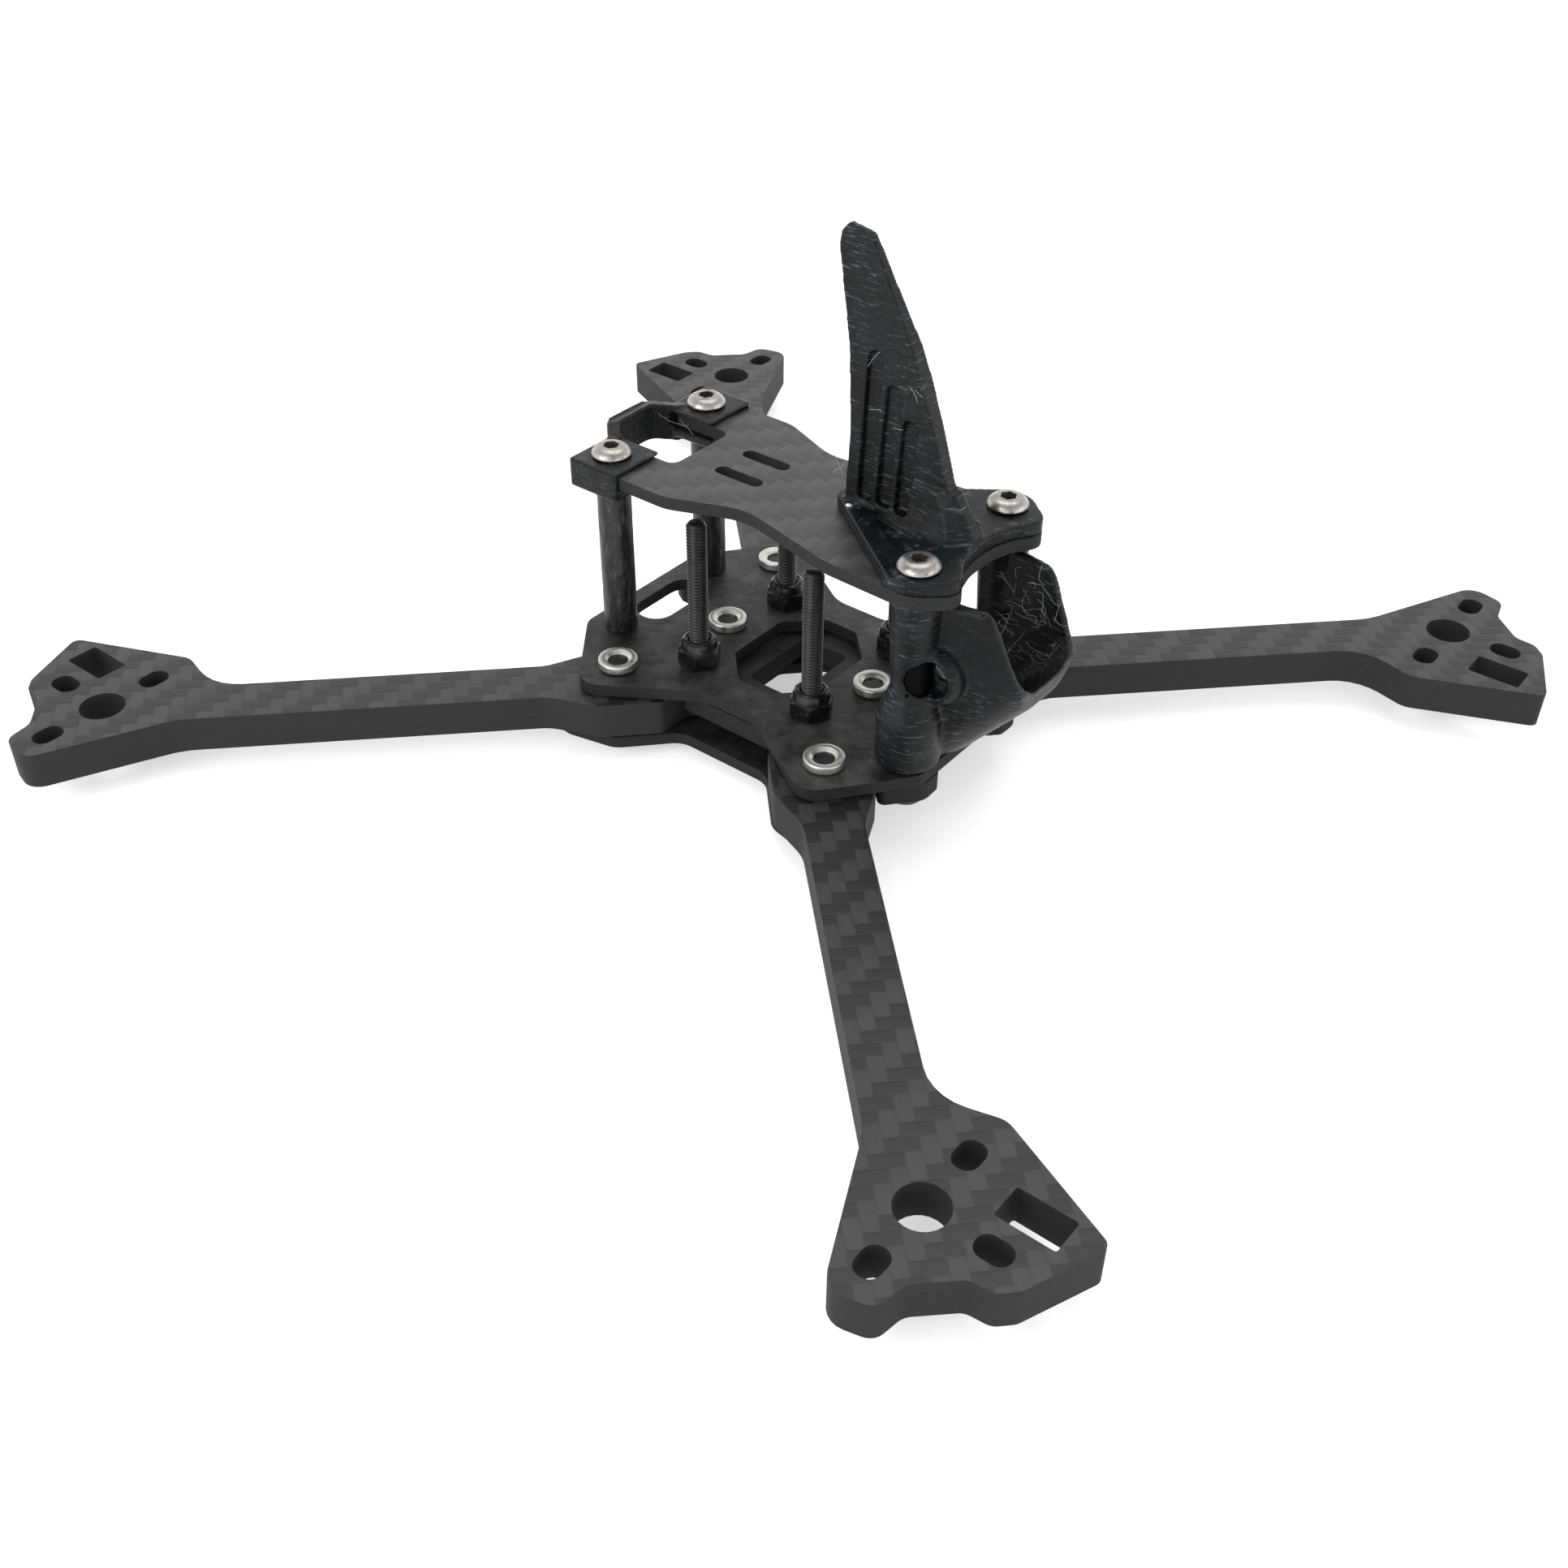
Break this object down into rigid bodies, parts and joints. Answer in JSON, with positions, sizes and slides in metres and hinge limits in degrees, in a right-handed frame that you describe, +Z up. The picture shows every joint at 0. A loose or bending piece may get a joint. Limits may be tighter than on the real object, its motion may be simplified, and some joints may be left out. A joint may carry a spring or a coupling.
{
  "type": "quadcopter frame",
  "caption": "Bare racing quadcopter frame: carbon decks and arms, printed camera cradle, antenna bridge and nose fin, with bolts for a flight stack.",
  "frame": {"origin": "on the ground, under the centre of the flight stack", "axes": "+Z up, -Y towards the camera and nose fin, X across"},
  "size_m": [0.1636, 0.1724, 0.0757],
  "materials": {
    "carbon_twill": "matt woven carbon laminate",
    "printed_tpu": "satin, printed in layers",
    "black_steel": "black oxide",
    "plain_steel": "bright",
    "nickel": "nickel plate",
    "black_nylon": "plain"
  },
  "bodies": {
    "frame": {"bottom_plate": "carbon_twill", "arm_brace": "carbon_twill", "mid_plate": "carbon_twill", "top_plate": "carbon_twill", "arm_front_right": "carbon_twill", "arm_front_left": "carbon_twill", "arm_rear_right": "carbon_twill", "arm_rear_left": "carbon_twill", "camera_mount": "printed_tpu", "antenna_mount": "printed_tpu", "nose_fin": "printed_tpu", "brace_screw_front": "black_steel", "brace_screw_rear": "black_steel", "clamp_screw_front_right": "black_steel", "clamp_screw_front_left": "black_steel", "clamp_screw_rear_right": "black_steel", "clamp_screw_rear_left": "black_steel", "deck_screw_front_right": "black_steel", "deck_screw_front_left": "black_steel", "deck_screw_rear_right": "black_steel", "deck_screw_rear_left": "black_steel", "stack_bolt_front_right": "black_steel", "stack_bolt_front_left": "black_steel", "stack_bolt_rear_right": "black_steel", "stack_bolt_rear_left": "black_steel", "standoff_front_right": "black_steel", "standoff_front_left": "black_steel", "standoff_rear_right": "black_steel", "standoff_rear_left": "black_steel", "roof_screw_front_right": "plain_steel", "roof_screw_front_left": "plain_steel", "roof_screw_rear_right": "plain_steel", "roof_screw_rear_left": "plain_steel", "press_nut_front": "nickel", "press_nut_rear": "nickel", "press_nut_front_right": "nickel", "press_nut_front_left": "nickel", "press_nut_rear_right": "nickel", "press_nut_rear_left": "nickel"},
    "nut_lift_front_right": {"nut_insert_front_right": "black_nylon"},
    "nut_front_right": {"lock_nut_front_right": "black_steel"},
    "nut_lift_front_left": {"nut_insert_front_left": "black_nylon"},
    "nut_front_left": {"lock_nut_front_left": "black_steel"},
    "nut_lift_rear_right": {"nut_insert_rear_right": "black_nylon"},
    "nut_rear_right": {"lock_nut_rear_right": "black_steel"},
    "nut_lift_rear_left": {"nut_insert_rear_left": "black_nylon"},
    "nut_rear_left": {"lock_nut_rear_left": "black_steel"}
  },
  "joints": [
    {"name": "nut_travel_front_right", "type": "slide", "parent": "frame", "child": "nut_lift_front_right", "axis": [0, 0, 1], "range_m": [0, 0.018]},
    {"name": "nut_spin_front_right", "type": "hinge", "parent": "nut_lift_front_right", "child": "nut_front_right", "pos_m": [-0.01, -0.01, 0.01125], "axis": [0, 0, 1], "range_deg": [0, 12960]},
    {"name": "nut_travel_front_left", "type": "slide", "parent": "frame", "child": "nut_lift_front_left", "axis": [0, 0, 1], "range_m": [0, 0.018]},
    {"name": "nut_spin_front_left", "type": "hinge", "parent": "nut_lift_front_left", "child": "nut_front_left", "pos_m": [0.01, -0.01, 0.01125], "axis": [0, 0, 1], "range_deg": [0, 12960]},
    {"name": "nut_travel_rear_right", "type": "slide", "parent": "frame", "child": "nut_lift_rear_right", "axis": [0, 0, 1], "range_m": [0, 0.018]},
    {"name": "nut_spin_rear_right", "type": "hinge", "parent": "nut_lift_rear_right", "child": "nut_rear_right", "pos_m": [-0.01, 0.01, 0.01125], "axis": [0, 0, 1], "range_deg": [0, 12960]},
    {"name": "nut_travel_rear_left", "type": "slide", "parent": "frame", "child": "nut_lift_rear_left", "axis": [0, 0, 1], "range_m": [0, 0.018]},
    {"name": "nut_spin_rear_left", "type": "hinge", "parent": "nut_lift_rear_left", "child": "nut_rear_left", "pos_m": [0.01, 0.01, 0.01125], "axis": [0, 0, 1], "range_deg": [0, 12960]}
  ],
  "couplings": [
    {"joint": "nut_spin_front_right", "follows": "nut_travel_front_right", "rad_per_m": 12566},
    {"joint": "nut_spin_front_left", "follows": "nut_travel_front_left", "rad_per_m": 12566},
    {"joint": "nut_spin_rear_right", "follows": "nut_travel_rear_right", "rad_per_m": 12566},
    {"joint": "nut_spin_rear_left", "follows": "nut_travel_rear_left", "rad_per_m": 12566}
  ]
}
